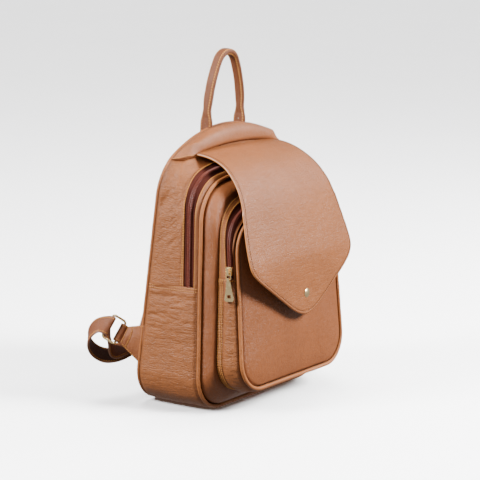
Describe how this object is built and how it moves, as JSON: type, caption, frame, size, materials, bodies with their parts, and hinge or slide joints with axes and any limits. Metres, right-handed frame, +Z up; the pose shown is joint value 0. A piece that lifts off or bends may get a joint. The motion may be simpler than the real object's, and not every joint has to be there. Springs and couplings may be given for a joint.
{
  "type": "leather backpack",
  "caption": "Small tan leather backpack with a pointed front flap, a zipped front pocket, a zipped main compartment, a top handle and shoulder straps.",
  "frame": {"origin": "on the ground, at the middle of the flat base", "axes": "+X across the back to the wearer's right seen from the front, -Y towards the front flap, +Z up"},
  "size_m": [0.3534, 0.2267, 0.4323],
  "materials": {
    "leather": "fine grain, satin",
    "yoke_leather": "smooth padded, satin",
    "piping_leather": "rolled, satin",
    "strap_leather": "edge painted, satin",
    "lining_cloth": "plain weave lining",
    "zip_cloth": "woven zip tape",
    "zip_coil": "nylon coil",
    "gold": "polished pale gold",
    "foam": "spacer foam",
    "board": "stiff board"
  },
  "bodies": {
    "root": {"lower_gusset": "leather", "upper_gusset": "leather", "yoke": "yoke_leather", "main_zip_tape": "zip_cloth", "main_zip_coil": "zip_coil", "front_gusset_strip": "leather", "back_panel": "leather", "back_foam": "foam", "back_piping": "piping_leather", "front_piping": "piping_leather", "main_front_panel": "leather", "main_lining": "lining_cloth", "base_board": "board", "inner_slip_pocket": "lining_cloth", "pocket_lower_gusset": "leather", "pocket_rear_strip": "leather", "pocket_front_strip": "leather", "pocket_zip_tape": "zip_cloth", "pocket_zip_coil": "zip_coil", "pocket_piping": "piping_leather", "pocket_front_panel": "leather", "pocket_lining": "lining_cloth", "snap_stud": "gold", "anchor_patch": "leather", "left_strap_end": "strap_leather", "right_strap_end": "strap_leather", "left_tab_loop": "piping_leather", "right_tab_loop": "piping_leather", "left_strap_tab": "leather", "right_strap_tab": "leather"},
    "flap": {"flap": "leather", "flap_lining": "lining_cloth", "snap_cap": "gold", "snap_socket": "gold"},
    "handle": {"handle": "leather", "handle_core": "foam"},
    "left_strap": {"left_ring": "gold", "left_strap": "strap_leather", "left_strap_return": "strap_leather"},
    "right_strap": {"right_ring": "gold", "right_strap": "strap_leather", "right_strap_return": "strap_leather"},
    "left_adjuster": {"left_glide": "gold"},
    "right_adjuster": {"right_glide": "gold"},
    "pocket_slider": {"pocket_zip_slider": "gold"},
    "pocket_link": {"pocket_zip_link": "gold"},
    "pocket_pull": {"pocket_zip_pull": "gold"},
    "main_slider": {"main_zip_slider": "gold"},
    "main_link": {"main_zip_link": "gold"},
    "main_pull": {"main_zip_pull": "gold"}
  },
  "joints": [
    {"name": "flap_lift", "type": "hinge", "parent": "root", "child": "flap", "pos_m": [0, -0.004, 0.3155], "axis": [-1, 0, 0], "range_deg": [0, 90]},
    {"name": "handle_tilt", "type": "hinge", "parent": "root", "child": "handle", "pos_m": [0, 0.0185, 0.3406], "axis": [-1, 0, 0], "range_deg": [0, 80]},
    {"name": "left_strap_swing", "type": "hinge", "parent": "root", "child": "left_strap", "pos_m": [-0.145, 0.0695, 0.0895], "axis": [0.5502, -0.1801, 0.8154], "range_deg": [0, 30]},
    {"name": "right_strap_swing", "type": "hinge", "parent": "root", "child": "right_strap", "pos_m": [0.145, 0.0695, 0.0895], "axis": [0.5502, 0.1801, -0.8154], "range_deg": [0, 30]},
    {"name": "left_adjuster_slide", "type": "slide", "parent": "left_strap", "child": "left_adjuster", "axis": [0.2892, -0.1808, 0.94], "range_m": [-0.01, 0.01]},
    {"name": "right_adjuster_slide", "type": "slide", "parent": "right_strap", "child": "right_adjuster", "axis": [-0.2892, -0.1808, 0.94], "range_m": [-0.01, 0.01]},
    {"name": "pocket_slider_slide", "type": "slide", "parent": "root", "child": "pocket_slider", "axis": [0.0345, 0.0699, 0.997], "range_m": [0, 0.035]},
    {"name": "pocket_link_swing", "type": "hinge", "parent": "pocket_slider", "child": "pocket_link", "pos_m": [-0.11574, -0.07304, 0.17833], "axis": [-0.2174, 0.9742, -0.0608], "range_deg": [0, 95]},
    {"name": "pocket_pull_swing", "type": "hinge", "parent": "pocket_link", "child": "pocket_pull", "pos_m": [-0.11607, -0.07371, 0.16876], "axis": [-0.2174, 0.9742, -0.0608], "range_deg": [0, 75]},
    {"name": "main_slider_slide", "type": "slide", "parent": "root", "child": "main_slider", "axis": [-0.033, 0, 0.9995], "range_m": [0, 0.06]},
    {"name": "main_link_swing", "type": "hinge", "parent": "main_slider", "child": "main_link", "pos_m": [0.1343, -0.024, 0.17022], "axis": [0, -1, 0], "range_deg": [0, 95]},
    {"name": "main_pull_swing", "type": "hinge", "parent": "main_link", "child": "main_pull", "pos_m": [0.13461, -0.024, 0.16063], "axis": [0, -1, 0], "range_deg": [0, 75]}
  ]
}
